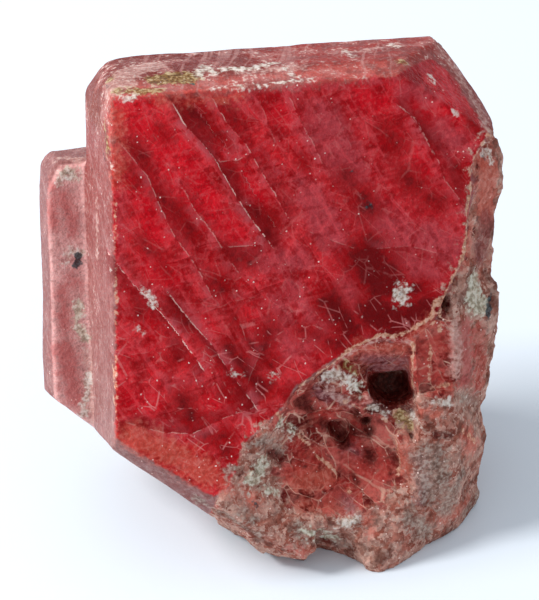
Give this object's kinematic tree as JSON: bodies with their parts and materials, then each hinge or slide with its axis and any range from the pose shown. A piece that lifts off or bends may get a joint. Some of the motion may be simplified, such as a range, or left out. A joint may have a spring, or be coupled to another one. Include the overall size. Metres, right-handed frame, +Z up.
{
  "type": "rough rhodonite crystal",
  "caption": "Natural rough stone: a flat translucent red crystal with a thinner parallel crystal behind it and rough pinkish matrix along one side and the foot.",
  "frame": {"origin": "middle of the stone's box on the surface it stands on", "axes": "+Z up; the broad red crystal face looks towards -Y and leans back by twenty degrees; +X runs to the right along that face"},
  "size_m": [0.0338, 0.0228, 0.0358],
  "materials": {
    "rhodonite": "translucent cherry-red crystal faces with cleavage veils, frosted mauve side faces, rough pinkish-grey matrix"
  },
  "bodies": {
    "root": {"rhodonite": "rhodonite"}
  },
  "joints": []
}
